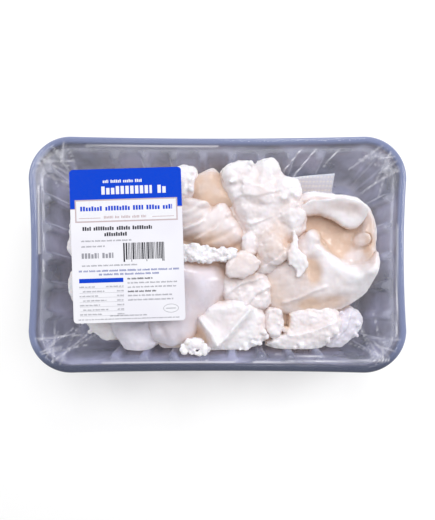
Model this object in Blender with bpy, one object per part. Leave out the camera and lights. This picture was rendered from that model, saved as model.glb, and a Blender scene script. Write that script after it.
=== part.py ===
"""Desalted cod pieces in a clear sealed tray, with a soaker pad, a lidding film and a label."""
import math

import bmesh
import bpy
from mathutils import Euler, Matrix, Vector

MM = 0.001

# Tray: every wall ring is an offset of one core rectangle
CORE_X = 89.0
CORE_Y = 46.0
FLANGE_OFFSET = 26.0
RIM_HEIGHT = 45.0
WALL = 0.8
RIB_PITCH = 18.3
RIB_HALF = 3.2
RIBS_LONG = 8
RIBS_SHORT = 5
BOW_LONG = 1.2
BOW_SHORT = 1.6

# Film, label and pad
GAP = 0.3
FILM = 0.3
FILM_RISE = 1.2
LABEL_X = 67.0
LABEL_Y = 92.0
LABEL_THICK = 0.3
LABEL_AT = (-54.0, 5.2)
LABEL_TURN = 1.8
PAD_X = 168.0
PAD_Y = 100.0
PAD_THICK = 1.2
PAD_TURN = 4.0

# Cod
FOOT_BOTTOM = 4.5
FOOT_SHRINK = 0.82
VOXEL = 1.5
CLEAR = 0.35


def material(name, color, rough):
    mat = bpy.data.materials.new(name)
    mat.use_nodes = True
    shader = mat.node_tree.nodes["Principled BSDF"]
    shader.inputs["Base Color"].default_value = (*color, 1.0)
    shader.inputs["Roughness"].default_value = rough
    return mat


def new_object(name, bm, mat):
    bmesh.ops.recalc_face_normals(bm, faces=bm.faces)
    mesh = bpy.data.meshes.new(name)
    bm.to_mesh(mesh)
    bm.free()
    obj = bpy.data.objects.new(name, mesh)
    bpy.context.scene.collection.objects.link(obj)
    if mat:
        mesh.materials.append(mat)
    return obj


# ---- tray ---------------------------------------------------------------------------

def side_stations(half, ribs, steps):
    """Stations along a straight side: (place, rib weight, bow weight)."""
    out = [(-half, 0.0, 0.0)]
    if ribs:
        for i in range(ribs):
            c = (i - (ribs - 1) / 2) * RIB_PITCH
            for place, weight in ((c - RIB_HALF, 0.0), (c, 1.0), (c + RIB_HALF, 0.0)):
                out.append((place, weight, 1 - (place / half) ** 2))
    else:
        for i in range(1, steps):
            place = half * (2 * i / steps - 1)
            out.append((place, 0.0, 1 - (place / half) ** 2))
    out.append((half, 0.0, 0.0))
    return out


def stations(ribbed):
    """Points round the core: (base point, outward direction, rib, bow)."""
    out = []
    corner = (21, 30, 39, 51, 60, 69) if ribbed else (15, 30, 45, 60, 75)
    for turn in range(4):
        short = turn % 2 == 0
        reach, half = (CORE_X, CORE_Y) if short else (CORE_Y, CORE_X)
        bow = BOW_SHORT if short else BOW_LONG
        spin = Matrix.Rotation(math.radians(90 * turn), 2)
        ribs = (RIBS_SHORT if short else RIBS_LONG) if ribbed else 0
        for place, rib, bend in side_stations(half, ribs, 4 if short else 6):
            out.append((spin @ Vector((reach, place)), spin @ Vector((1, 0)), rib, bend * bow))
        for angle in corner:
            a = math.radians(angle)
            rib = 1.0 if angle in (30, 60) else 0.0
            out.append((spin @ Vector((reach, half)), spin @ Vector((math.cos(a), math.sin(a))), rib, 0.0))
    return out


def ring(bm, ribbed, offset, z, rib_depth=0.0):
    """One loop round the tray at an offset from the core and a height."""
    share = min(1.0, z / RIM_HEIGHT)
    verts = []
    for base, out, rib, bow in stations(ribbed):
        p = base + out * (offset - rib * rib_depth - bow * share)
        verts.append(bm.verts.new((p.x * MM, p.y * MM, z * MM)))
    return verts


def loop_edges(bm, verts):
    edges = []
    for a, b in zip(verts, verts[1:] + verts[:1]):
        edges.append(bm.edges.get((a, b)) or bm.edges.new((a, b)))
    return edges


def strip(bm, lower, upper):
    for i in range(len(lower)):
        j = (i + 1) % len(lower)
        bm.faces.new((lower[i], lower[j], upper[j], upper[i]))


def flat_fill(bm, *loops):
    """Flat facets that close one loop, or join two loops of unequal count."""
    edges = [e for verts in loops for e in loop_edges(bm, verts)]
    bmesh.ops.triangle_fill(bm, use_beauty=True, use_dissolve=False, edges=edges)


def tray(mat):
    """Thermoformed tray: raised floor panel, ribbed walls, stacking ledge, rolled flange."""
    bm = bmesh.new()
    inner = [(False, 2.0, 2.3), (False, 4.0, WALL), (True, 8.5, WALL), (True, 11.5, 4.0, 0.8),
             (True, 15.0, 18.0, 2.0), (True, 18.0, 37.0, 2.2), (True, 18.3, 38.5), (False, 19.3, 38.5),
             (False, 19.8, 43.6), (False, 21.0, RIM_HEIGHT), (False, 24.0, RIM_HEIGHT),
             (False, 25.4, 44.3), (False, FLANGE_OFFSET, 42.6), (False, FLANGE_OFFSET, 38.0)]
    outer = [(False, 25.2, 38.0), (False, 25.2, 42.4), (False, 23.7, 44.2), (False, 21.4, 44.2),
             (False, 20.6, 43.2), (False, 20.1, 37.7), (True, 19.1, 37.7), (True, 18.8, 36.4, 2.2),
             (True, 15.8, 17.6, 2.0), (True, 12.3, 3.5, 0.8), (True, 9.0, 0.0), (False, 3.4, 0.0),
             (False, 1.4, 1.5)]
    path = [(row[0], ring(bm, *row)) for row in inner + outer]
    flat_fill(bm, path[0][1])
    for (kind_a, a), (kind_b, b) in zip(path, path[1:]):
        if kind_a == kind_b:
            strip(bm, a, b)
        else:
            flat_fill(bm, a, b)
    flat_fill(bm, path[-1][1])
    return new_object("tray", bm, mat)


# ---- film, label, pad ---------------------------------------------------------------

def film(mat):
    """Lidding film on the flange, pushed up a little by the gas in the pack."""
    bm = bmesh.new()
    low = RIM_HEIGHT + GAP
    rows = [(24.0, low), (20.5, low), (14.0, low + 0.6 * FILM_RISE), (8.5, low + FILM_RISE)]
    top = [ring(bm, False, r, z + FILM) for r, z in rows]
    under = [ring(bm, False, r, z) for r, z in rows]
    for loops in (top, under):
        for a, b in zip(loops, loops[1:]):
            strip(bm, a, b)
        flat_fill(bm, loops[-1])
    strip(bm, under[0], top[0])
    return new_object("film", bm, mat)


def label(mat):
    """Paper label with rounded corners, stuck on the film."""
    bm = bmesh.new()
    bottom = RIM_HEIGHT + 2 * GAP + FILM + FILM_RISE
    radius = 2.2
    turn = Matrix.Rotation(math.radians(LABEL_TURN), 2)
    loops = []
    for z in (bottom, bottom + LABEL_THICK):
        verts = []
        for sx, sy, first in ((1, 1, 0), (-1, 1, 90), (-1, -1, 180), (1, -1, 270)):
            for step in range(4):
                a = math.radians(first + 30 * step)
                p = Vector((sx * (LABEL_X / 2 - radius) + radius * math.cos(a),
                            sy * (LABEL_Y / 2 - radius) + radius * math.sin(a)))
                p = turn @ p + Vector(LABEL_AT)
                verts.append(bm.verts.new((p.x * MM, p.y * MM, z * MM)))
        loops.append(verts)
    strip(bm, *loops)
    flat_fill(bm, loops[0])
    flat_fill(bm, loops[1])
    return new_object("label", bm, mat)


def pad_point(x, y):
    """The pad lies on the raised floor; its far right corner climbs the wall."""
    climb = min(1.0, max(0.0, (x - 46.0) / 20.0))
    y = min(50.0 + 12.0 * climb, max(-50.0, y))
    return x * MM, y * MM, (2.6 + 0.16 * max(0.0, y - 50.0) ** 2) * MM


def pad(mat):
    """Absorbent pad laid a little askew on the tray floor."""
    bm = bmesh.new()
    turn = Matrix.Rotation(math.radians(PAD_TURN), 2)
    nx, ny = 6, 14
    sheets = []
    for lift in (0.0, PAD_THICK):
        grid = []
        for i in range(nx + 1):
            row = []
            for j in range(ny + 1):
                p = turn @ Vector((PAD_X * (i / nx - 0.5) - 2.0, PAD_Y * (j / ny - 0.5) + 3.0))
                x, y, z = pad_point(p.x, p.y)
                row.append(bm.verts.new((x, y, z + lift * MM)))
            grid.append(row)
        sheets.append(grid)
    for grid in sheets:
        for i in range(nx):
            for j in range(ny):
                bm.faces.new((grid[i][j], grid[i + 1][j], grid[i + 1][j + 1], grid[i][j + 1]))
    rims = []
    for grid in sheets:
        rim = [row[0] for row in grid] + grid[-1][1:] + [row[-1] for row in grid[-2::-1]] + grid[0][-2:0:-1]
        rims.append(rim)
    strip(bm, *rims)
    bmesh.ops.remove_doubles(bm, verts=bm.verts, dist=1e-5)
    return new_object("pad", bm, mat)


# ---- cod ----------------------------------------------------------------------------

def ellipsoid(bm, centre, radii, turn):
    place = Matrix.LocRotScale(Vector(centre) * MM, Euler((0, 0, math.radians(turn))), Vector(radii) * MM)
    bmesh.ops.create_icosphere(bm, subdivisions=3, radius=1.0, matrix=place)


def settle(obj):
    """Replace an object's mesh with what its modifiers make of it."""
    graph = bpy.context.evaluated_depsgraph_get()
    mesh = bpy.data.meshes.new_from_object(obj.evaluated_get(graph))
    obj.modifiers.clear()
    obj.data = mesh


def keep_largest(obj):
    """Drop the small scraps a cut can leave, and weld its slivers."""
    bm = bmesh.new()
    bm.from_mesh(obj.data)
    bmesh.ops.triangulate(bm, faces=bm.faces)
    groups, seen = [], set()
    for start in bm.verts:
        if start in seen:
            continue
        group, stack = [], [start]
        seen.add(start)
        while stack:
            v = stack.pop()
            group.append(v)
            for e in v.link_edges:
                o = e.other_vert(v)
                if o not in seen:
                    seen.add(o)
                    stack.append(o)
        groups.append(group)
    groups.sort(key=len)
    for group in groups[:-1]:
        bmesh.ops.delete(bm, geom=group, context="VERTS")
    bmesh.ops.recalc_face_normals(bm, faces=bm.faces)
    bm.to_mesh(obj.data)
    bm.free()


def flesh(name, lumps, facets, mat, foot=True):
    """A soft piece of fish: ellipsoid lumps (x, y, z, rx, ry, rz, turn) melted into one body."""
    bm = bmesh.new()
    for x, y, z, rx, ry, rz, turn in lumps:
        ellipsoid(bm, (x, y, z), (rx, ry, rz), turn)
        if foot:
            half = (z - FOOT_BOTTOM) / 2
            ellipsoid(bm, (x, y, FOOT_BOTTOM + half), (rx * FOOT_SHRINK, ry * FOOT_SHRINK, half), turn)
    obj = new_object(name, bm, None)
    melt = obj.modifiers.new("melt", "REMESH")
    melt.mode = "VOXEL"
    melt.voxel_size = VOXEL * MM
    soft = obj.modifiers.new("soft", "SMOOTH")
    soft.factor = 0.5
    soft.iterations = 8
    settle(obj)
    obj.data.calc_loop_triangles()
    thin = obj.modifiers.new("thin", "DECIMATE")
    thin.ratio = facets / len(obj.data.loop_triangles)
    settle(obj)
    obj.data.materials.clear()
    obj.data.materials.append(mat)
    return obj


def trim(piece, others):
    """Cut a piece back so it clears the pieces that press on it."""
    for other in others:
        swollen = other.copy()
        swollen.data = other.data.copy()
        bpy.context.scene.collection.objects.link(swollen)
        grow = swollen.modifiers.new("grow", "DISPLACE")
        grow.strength = CLEAR * MM
        grow.mid_level = 0.0
        settle(swollen)
        cut = piece.modifiers.new("cut", "BOOLEAN")
        cut.operation = "DIFFERENCE"
        cut.solver = "EXACT"
        cut.object = swollen
        settle(piece)
        bpy.data.objects.remove(swollen)
        keep_largest(piece)


def cod_flake_strip(mat):
    lumps = [(-13, 3, 40, 10, 4, 2.6, -5), (-2, 1, 40, 9, 3.5, 2.6, -10), (7, -1, 39.5, 6, 2.8, 2.4, -20)]
    return flesh("cod_flake_strip", lumps, 90, mat, foot=False)


def cod_chip(mat):
    return flesh("cod_chip", [(14, -5, 36, 8, 6, 5, 15)], 70, mat, foot=False)


def cod_fillet_right(mat):
    """Large fillet curled over at the right, hollow in the middle."""
    lumps = [(64, -16, 26, 30, 18, 14, -12), (77, -4, 31, 23, 11, 11, -42), (60, 10, 31, 8, 9, 11, 0),
             (92, -3, 27, 8, 14, 12, 10), (93, 19, 27, 8, 17, 12, 8), (85, 36, 27, 12, 6, 10, -25),
             (70, 38, 27, 16, 7, 10, 3), (76, 22, 17, 18, 15, 8, -20)]
    return flesh("cod_fillet_right", lumps, 460, mat)


def cod_lump_centre(mat):
    lumps = [(13, 50, 29, 12, 9, 12, 0), (32, 51, 30, 12, 9, 12, 10), (43, 39, 30, 12, 13, 12, 30),
             (29, 34, 31, 18, 18, 12, 0), (37, 14, 31, 17, 17, 11, 0), (34, 2, 29, 12, 10, 10, 0),
             (20, 7, 30, 5, 8, 7, 10)]
    return flesh("cod_lump_centre", lumps, 330, mat)


def cod_fillet_left(mat):
    return flesh("cod_fillet_left", [(-2, 23, 31, 20, 12, 10, -25), (-20, 24, 29, 17, 14, 11, 0)], 220, mat)


def cod_lump_rear(mat):
    return flesh("cod_lump_rear", [(-6, 45, 26, 10, 10, 11, 0)], 130, mat)


def cod_lump_label(mat):
    return flesh("cod_lump_label", [(-26, 48, 27, 12, 10, 11, 0)], 130, mat)


def cod_fillet_front(mat):
    return flesh("cod_fillet_front", [(-16, -22, 31, 23, 19, 11, 35), (-23, -40, 27, 13, 15, 12, 10)], 260, mat)


def cod_flap_front(mat):
    return flesh("cod_flap_front", [(20, -21, 27, 11, 8, 8, -30)], 120, mat)


def cod_fold_front(mat):
    lumps = [(9, -38, 25, 20, 11, 10, 15), (20, -47, 19, 12, 8, 9, 0), (-3, -48, 19, 12, 8, 9, -20)]
    return flesh("cod_fold_front", lumps, 240, mat)


def cod_crumble_right(mat):
    return flesh("cod_crumble_right", [(61, -44, 17, 21, 11, 11, 8)], 170, mat)


def cod_crumble_corner(mat):
    return flesh("cod_crumble_corner", [(85, -41, 15, 11, 11, 10, 0)], 120, mat)


def cod_flake_upright(mat):
    return flesh("cod_flake_upright", [(39, -41, 18, 5, 8, 9, 0)], 80, mat)


def cod_crumb_front(mat):
    return flesh("cod_crumb_front", [(-14, -53.5, 20, 8, 4, 4, 0)], 60, mat, foot=False)


def cod_lump_front_left(mat):
    return flesh("cod_lump_front_left", [(-52, -42, 24, 14, 14, 12, 10)], 170, mat)


def cod_lump_corner(mat):
    return flesh("cod_lump_corner", [(-76, -39, 22, 13, 12, 11, 0)], 140, mat)


def cod_lump_rear_left(mat):
    return flesh("cod_lump_rear_left", [(-50, 42, 27, 22, 14, 12, 0), (-67, 45, 27, 13, 10, 12, 0)], 190, mat)


def cod_lump_left(mat):
    return flesh("cod_lump_left", [(-72, 14, 26, 23, 18, 12, 0)], 170, mat)


def cod_lump_left_front(mat):
    return flesh("cod_lump_left_front", [(-73, -18, 26, 23, 17, 12, 0)], 170, mat)


def heap(mat):
    """Every piece of cod, the ones that press on the others first."""
    makers = (cod_flake_strip, cod_chip, cod_fillet_right, cod_fillet_left, cod_lump_centre, cod_fillet_front,
              cod_flap_front, cod_lump_label, cod_fold_front, cod_lump_rear, cod_crumble_right,
              cod_flake_upright, cod_crumble_corner, cod_lump_front_left, cod_crumb_front, cod_lump_left,
              cod_lump_rear_left, cod_lump_left_front, cod_lump_corner)
    done = []
    for make in makers:
        piece = make(mat)
        trim(piece, [other for other in done if near(piece, other)])
        done.append(piece)


def near(a, b):
    """Whether the boxes round two pieces meet."""
    boxes = []
    for obj in (a, b):
        points = [v.co for v in obj.data.vertices]
        boxes.append([(min(p[k] for p in points), max(p[k] for p in points)) for k in range(3)])
    return all(lo_a < hi_b + MM and lo_b < hi_a + MM for (lo_a, hi_a), (lo_b, hi_b) in zip(*boxes))


for old in list(bpy.data.objects):
    bpy.data.objects.remove(old)
tray(material("clear_tray", (0.42, 0.43, 0.50), 0.15))
film(material("lidding_film", (0.80, 0.80, 0.86), 0.08))
label(material("label_paper", (0.90, 0.90, 0.95), 0.45))
pad(material("soaker_pad", (0.88, 0.87, 0.92), 0.80))
heap(material("cod_flesh", (0.88, 0.82, 0.78), 0.35))
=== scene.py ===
import math
import random

import bmesh
import bpy
import numpy as np
from mathutils import Matrix, Vector


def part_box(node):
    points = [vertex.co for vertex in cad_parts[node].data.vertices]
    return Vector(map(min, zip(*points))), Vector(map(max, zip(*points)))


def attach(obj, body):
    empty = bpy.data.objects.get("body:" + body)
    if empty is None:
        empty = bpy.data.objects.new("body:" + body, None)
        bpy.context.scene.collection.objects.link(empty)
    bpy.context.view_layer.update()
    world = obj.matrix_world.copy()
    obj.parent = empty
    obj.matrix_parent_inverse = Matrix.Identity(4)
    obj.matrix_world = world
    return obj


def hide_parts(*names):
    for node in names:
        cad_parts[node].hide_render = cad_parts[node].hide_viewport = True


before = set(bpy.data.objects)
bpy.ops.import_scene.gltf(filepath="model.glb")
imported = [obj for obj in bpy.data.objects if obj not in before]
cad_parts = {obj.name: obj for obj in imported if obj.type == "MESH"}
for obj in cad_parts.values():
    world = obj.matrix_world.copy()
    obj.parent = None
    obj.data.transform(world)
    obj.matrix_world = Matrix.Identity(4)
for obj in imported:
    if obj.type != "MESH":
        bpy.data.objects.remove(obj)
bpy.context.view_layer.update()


# ---- Tray -------------------------------------------------------------------------------
# Clear thermoformed tray, slightly smoky, about 0.4 mm thick. The sheet is drawn into a
# ribbed box with a raised floor panel, and its edge is rolled over into a stiff flange.

MM = 0.001
tray_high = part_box("tray")[1]
FLANGE_ROUND = 26.0
CORE_X = tray_high[0] / MM - FLANGE_ROUND
CORE_Y = tray_high[1] / MM - FLANGE_ROUND
RIM = tray_high[2] / MM
WALL = 0.6
RIB_PITCH = 18.3
RIB_HALF = 3.6
RIBS = {True: 5, False: 8}
BOW = {True: 1.6, False: 1.2}
CORNER_RIBS = (27, 63)
CORNER_RIB_HALF = 10.5
STATION_STEP = 1.0


def rib_bump(place, count):
    """How far a rib stands in at a place along a side: 1 on its crest, 0 between ribs."""
    nearest = round(place / RIB_PITCH - (count - 1) / 2 + count - 1) - (count - 1) / 2
    nearest = max(-(count - 1) / 2, min((count - 1) / 2, nearest))
    away = abs(place - nearest * RIB_PITCH) / RIB_HALF
    return 0.0 if away >= 1 else min(1.0, 1.1 * (1 + math.cos(math.pi * away)))


def tray_stations():
    """Points round the core rectangle: (x, y, outward x, outward y, rib, bow). True is a short side."""
    found = []
    for turn in range(4):
        short = turn % 2 == 0
        reach, half = (CORE_X, CORE_Y) if short else (CORE_Y, CORE_X)
        spin = Matrix.Rotation(math.radians(90 * turn), 2)
        out = spin @ Vector((1, 0))
        steps = int(2 * half / STATION_STEP)
        for i in range(steps + 1):
            place = half * (2 * i / steps - 1)
            base = spin @ Vector((reach, place))
            bow = BOW[short] * (1 - (place / half) ** 2)
            found.append((base.x, base.y, out.x, out.y, rib_bump(place, RIBS[short]), bow))
        base = spin @ Vector((reach, half))
        for degree in range(3, 90, 3):
            out = spin @ Vector((math.cos(math.radians(degree)), math.sin(math.radians(degree))))
            away = min(abs(degree - crest) for crest in CORNER_RIBS) / CORNER_RIB_HALF
            rib = 0.0 if away >= 1 else min(1.0, 0.8 * (1 + math.cos(math.pi * away)))
            found.append((base.x, base.y, out.x, out.y, rib, 0.0))
    return found


def wall_ring(work, stations, offset, z, rib_depth=0.0):
    """One loop of the wall, at an offset from the core rectangle and a height."""
    share = min(1.0, z / RIM)
    loop = []
    for x, y, out_x, out_y, rib, bow in stations:
        reach = offset - rib * rib_depth - bow * share
        loop.append(work.verts.new(((x + out_x * reach) * MM, (y + out_y * reach) * MM, z * MM)))
    return loop


def join_rings(work, rings):
    """Faces between each ring and the next."""
    for low, high in zip(rings, rings[1:]):
        for i in range(len(low)):
            j = (i + 1) % len(low)
            work.faces.new((low[i], low[j], high[j], high[i]))


def piece_from(work, name):
    """A finished mesh object from modelled faces, its faces pointing out."""
    bmesh.ops.recalc_face_normals(work, faces=work.faces)
    mesh = bpy.data.meshes.new(name)
    work.to_mesh(mesh)
    work.free()
    piece = bpy.data.objects.new(name, mesh)
    bpy.context.scene.collection.objects.link(piece)
    return piece


def make_tray():
    """The shell, as rings of (offset, height, rib depth) from the floor's inside round to below it."""
    work = bmesh.new()
    around = tray_stations()
    inner = [(1.0, 2.3), (2.0, 2.25), (3.2, 1.2), (4.2, WALL + 0.05), (7.4, WALL), (9.0, 1.2, 0.1),
             (10.3, 2.6, 0.6), (11.5, 5.0, 1.4), (13.2, 11.0, 2.2), (15.0, 18.0, 2.8), (16.7, 27.0, 3.1),
             (18.0, 34.0, 3.2), (18.5, 36.0, 3.2), (19.0, 37.2, 2.0), (19.4, 37.9, 0.5), (20.4, 38.2),
             (20.9, 38.8), (21.1, 40.5), (21.3, 43.2), (21.6, 44.2), (22.1, 44.8), (22.7, RIM),
             (23.9, RIM),
             (24.8, 44.8), (25.5, 44.2), (25.85, 43.2), (26.0, 42.0), (FLANGE_ROUND, 38.2)]
    outer = [(26.0 - WALL, 38.0), (25.3, 42.0), (24.9, 43.4), (23.9, RIM - WALL), (22.9, RIM - WALL),
             (22.2, 43.6), (21.8, 40.5), (21.6, 38.2), (20.9, 37.5), (19.9, 37.0, 0.6), (19.3, 35.8, 3.2),
             (18.7, 34.0, 3.2), (17.4, 27.0, 3.1), (15.7, 17.8, 2.8), (13.9, 10.6, 2.2), (12.2, 4.5, 1.4),
             (10.8, 1.8, 0.5), (9.2, 0.3), (7.4, 0.0), (4.4, 0.0), (3.6, 0.6), (2.2, 1.6), (1.0, 1.7)]
    rings = [wall_ring(work, around, *row) for row in inner + outer]
    join_rings(work, rings)
    work.faces.new(rings[0])
    work.faces.new(rings[-1])
    bmesh.ops.triangulate(work, faces=[f for f in work.faces if len(f.verts) > 4])
    return piece_from(work, "tray_shell")


def plain_material(name, color, rough):
    """A material with one Principled shader: (material, its nodes, its links, the shader)."""
    made = bpy.data.materials.new(name)
    made.use_nodes = True
    shader = made.node_tree.nodes["Principled BSDF"]
    shader.inputs["Base Color"].default_value = (*color, 1.0)
    shader.inputs["Roughness"].default_value = rough
    return made, made.node_tree.nodes, made.node_tree.links, shader


def object_noise(nodes, links, scale, detail=3.0, stretch=None):
    """Noise on the piece's own coordinates, scale in cells per metre."""
    where = nodes.new("ShaderNodeTexCoord")
    noise = nodes.new("ShaderNodeTexNoise")
    noise.inputs["Scale"].default_value = scale
    noise.inputs["Detail"].default_value = detail
    if stretch:
        mapping = nodes.new("ShaderNodeMapping")
        mapping.inputs["Scale"].default_value = stretch
        links.new(where.outputs["Object"], mapping.inputs["Vector"])
        links.new(mapping.outputs["Vector"], noise.inputs["Vector"])
    else:
        links.new(where.outputs["Object"], noise.inputs["Vector"])
    return noise.outputs["Fac"]


def ramp(nodes, links, source, stops):
    """A colour ramp fed by source; stops are (position, (r, g, b))."""
    node = nodes.new("ShaderNodeValToRGB")
    while len(node.color_ramp.elements) < len(stops):
        node.color_ramp.elements.new(0.5)
    for element, (position, color) in zip(node.color_ramp.elements, stops):
        element.position = position
        element.color = (*color, 1.0)
    links.new(source, node.inputs["Fac"])
    return node.outputs["Color"]


def bump(nodes, links, height, strength, distance, shader):
    """Fine relief on a shader, its distance in metres."""
    node = nodes.new("ShaderNodeBump")
    node.inputs["Strength"].default_value = strength
    node.inputs["Distance"].default_value = distance
    links.new(height, node.inputs["Height"])
    links.new(node.outputs["Normal"], shader.inputs["Normal"])
    return node


def spread(nodes, links, source, low, high, first=0.0):
    """A number that runs from first to 1 as the source runs from low to high."""
    node = nodes.new("ShaderNodeMapRange")
    node.inputs["From Min"].default_value = low
    node.inputs["From Max"].default_value = high
    node.inputs["To Min"].default_value = first
    links.new(source, node.inputs["Value"])
    return node.outputs["Result"]


def blend(nodes, links, share, color, other):
    """A mix of two colour sockets; a plain colour is allowed as the second."""
    node = nodes.new("ShaderNodeMix")
    node.data_type = "RGBA"
    links.new(share, node.inputs["Factor"])
    links.new(color, node.inputs["A"])
    if isinstance(other, tuple):
        node.inputs["B"].default_value = (*other, 1.0)
    else:
        links.new(other, node.inputs["B"])
    return node.outputs["Result"]


def math_node(nodes, links, operation, *values):
    """The output of a math node fed by sockets or plain numbers."""
    node = nodes.new("ShaderNodeMath")
    node.operation = operation
    for socket, value in zip(node.inputs, values):
        if isinstance(value, float):
            socket.default_value = value
        else:
            links.new(value, socket)
    return node.outputs[0]


tray_plastic, nodes, links, shader = plain_material("smoky_clear_plastic", (0.2, 0.2, 0.24), 0.12)
cloudy = object_noise(nodes, links, 38.0, 4.0)
sheet = ramp(nodes, links, cloudy, ((0.32, (0.11, 0.12, 0.185)), (0.68, (0.38, 0.39, 0.57))))
where = nodes.new("ShaderNodeTexCoord")
apart = nodes.new("ShaderNodeSeparateXYZ")
links.new(where.outputs["Object"], apart.inputs[0])
on_flange = spread(nodes, links, apart.outputs["Z"], 0.041, 0.0445)
# Painted light on the rolled flange: its top is painted light blue and the lower part of the roll dark,
# and a painted shade darkens the whole front flange, fading out towards the back.
front_painted_shade = spread(nodes, links, apart.outputs["Y"], -0.068, -0.052, 0.3)
flange_painted_light = ramp(nodes, links, on_flange, ((0.3, (0.06, 0.065, 0.09)), (0.95, (0.21, 0.245, 0.40))))
shaded = nodes.new("ShaderNodeVectorMath")
shaded.operation = "SCALE"
links.new(flange_painted_light, shaded.inputs[0])
links.new(front_painted_shade, shaded.inputs["Scale"])
edge_on = nodes.new("ShaderNodeLayerWeight")
edge_on.inputs["Blend"].default_value = 0.5
# Painted highlight: wall faces seen edge-on, most of all the rib flanks, are painted pale blue-white in
# place of the reflections that make them bright.
painted_edge_on_highlight = ramp(nodes, links, edge_on.outputs["Facing"], ((0.74, (0.0,) * 3), (0.96, (0.85,) * 3)))
walls = blend(nodes, links, painted_edge_on_highlight, sheet, (0.75, 0.77, 0.95))
rolled = blend(nodes, links, on_flange, walls, shaded.outputs["Vector"])
links.new(rolled, shader.inputs["Base Color"])
uneven = ramp(nodes, links, cloudy, ((0.3, (0.07,) * 3), (0.75, (0.2,) * 3)))
links.new(uneven, shader.inputs["Roughness"])
solid_look = ramp(nodes, links, edge_on.outputs["Facing"], ((0.0, (0.55,) * 3), (1.0, (0.92,) * 3)))
rays = nodes.new("ShaderNodeLightPath")
faint = ramp(nodes, links, rays.outputs["Is Camera Ray"], ((0.0, (0.2,) * 3), (1.0, (1.0,) * 3)))
thicker = math_node(nodes, links, "MULTIPLY_ADD", on_flange, 0.32, solid_look)
thicker.node.use_clamp = True
links.new(math_node(nodes, links, "MULTIPLY", faint, thicker), shader.inputs["Alpha"])
shader.inputs["IOR"].default_value = 1.55
bump(nodes, links, object_noise(nodes, links, 110.0, 2.0), 0.35, 0.0012, shader)

tray = make_tray()
tray.data.materials.append(tray_plastic)
tray.data.polygons.foreach_set("use_smooth", [True] * len(tray.data.polygons))
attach(tray, "root")
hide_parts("tray")


# ---- Soaker pad -------------------------------------------------------------------------
# White tissue over an absorbent core, embossed all over with a fine diamond pattern. It
# lies loose and a little askew on the floor, and its far right corner climbs the wall.

PAD_X = 168.0
PAD_Y = 96.5
PAD_THICK = 1.0
PAD_TURN = math.radians(4.0)
PAD_FLOOR = 2.7
PAD_SHIFT_X = -2.0
PAD_SHIFT_Y = 3.4
CURL_FROM_X = 40.0
CURL_BLEND = 6.0
CURL_FROM_Y = 43.0
CURL_SLOPE = 1.1
FLOOR_HALF_Y = 50.0
CURL_REACH = 12.5
DIMPLE = 0.12
DIMPLE_TURNS = 1.9
PAD_WAVE = 0.3


def pad_place(x, y):
    """Where a point of the flat pad comes to lie in the tray."""
    climb = min(1.0, max(0.0, (x - CURL_FROM_X) / CURL_BLEND))
    y = min(FLOOR_HALF_Y + CURL_REACH * climb, max(-FLOOR_HALF_Y, y))
    return x, y, PAD_FLOOR + CURL_SLOPE * max(0.0, y - CURL_FROM_Y) * climb


def reshape(piece, name, kind, **settings):
    """Apply a modifier with those settings to the active piece."""
    modifier = piece.modifiers.new(name, kind)
    for key, value in settings.items():
        setattr(modifier, key, value)
    bpy.ops.object.modifier_apply(modifier=name)


bpy.ops.object.select_all(action="DESELECT")
bpy.ops.mesh.primitive_grid_add(x_subdivisions=170, y_subdivisions=110, size=1.0)
pad = bpy.context.object
pad.name = "soaker_pad"
for v in pad.data.vertices:
    flat = Vector((PAD_X * v.co.x + PAD_SHIFT_X, PAD_Y * v.co.y + PAD_SHIFT_Y))
    flat = Matrix.Rotation(PAD_TURN, 2) @ flat
    x, y, z = pad_place(flat.x, flat.y)
    dimple = DIMPLE * math.sin((x + y) * DIMPLE_TURNS) * math.sin((x - y) * DIMPLE_TURNS)
    wave = PAD_WAVE * math.sin(x / 17.0) * math.cos(y / 13.0)
    v.co = (x * MM, y * MM, (z + dimple + wave) * MM)
reshape(pad, "thickness", "SOLIDIFY", thickness=PAD_THICK * MM, offset=-1.0)
bpy.ops.object.shade_smooth()

pad_tissue, nodes, links, shader = plain_material("embossed_tissue", (0.86, 0.85, 0.88), 0.85)
where = nodes.new("ShaderNodeTexCoord")
emboss = nodes.new("ShaderNodeTexVoronoi")
emboss.distance = "MANHATTAN"
emboss.inputs["Scale"].default_value = 430.0
emboss.inputs["Randomness"].default_value = 0.15
links.new(where.outputs["Object"], emboss.inputs["Vector"])
tone = ramp(nodes, links, emboss.outputs["Distance"],
            ((0.3, (1.0, 1.0, 1.0)), (0.65, (0.84, 0.87, 0.97))))
links.new(tone, shader.inputs["Base Color"])
bump(nodes, links, emboss.outputs["Distance"], 0.35, 0.0004, shader)
pad.data.materials.append(pad_tissue)
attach(pad, "root")
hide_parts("pad")


# ---- Cod pieces -------------------------------------------------------------------------
# Desalted cod, torn by hand: smooth folded fillets, fluffy clumps and loose crumbs, wet and
# milky. Each piece is soft lumps melted into one skin, then folded, torn and ruffled.

FOOT_BOTTOM = 4.5
SKIN_SPREAD = 0.9
SLAB_STEP = 1.2
FACE_UP = 1.6
LIP_EDGE = 0.9
FILM_UNDERSIDE = 44.0
SOFT_LIMIT = 3.0
PAD_TOP = 4.2
WALL_HEIGHTS = (4, 8, 18, 27, 34, 38, 40)
WALL_ROOM = (9.4, 10.6, 12.2, 13.6, 14.6, 17.4, 18.2)
WALL_BOW = 1.2
cod_pieces = []


def add_lump(x, y, z, rx, ry, rz, turn=0, tilt=0):
    """An ellipsoid of flesh: its centre, half sizes and angles in millimetres and degrees."""
    bpy.ops.mesh.primitive_uv_sphere_add(segments=28, ring_count=18, radius=1.0,
                                         location=(x * MM, y * MM, z * MM),
                                         rotation=(0, math.radians(tilt), math.radians(turn)),
                                         scale=(rx * MM, ry * MM, rz * MM))
    return bpy.context.object


def pick(piece):
    """Make a piece the only one that operators work on."""
    bpy.ops.object.select_all(action="DESELECT")
    piece.select_set(True)
    bpy.context.view_layer.objects.active = piece


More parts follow.
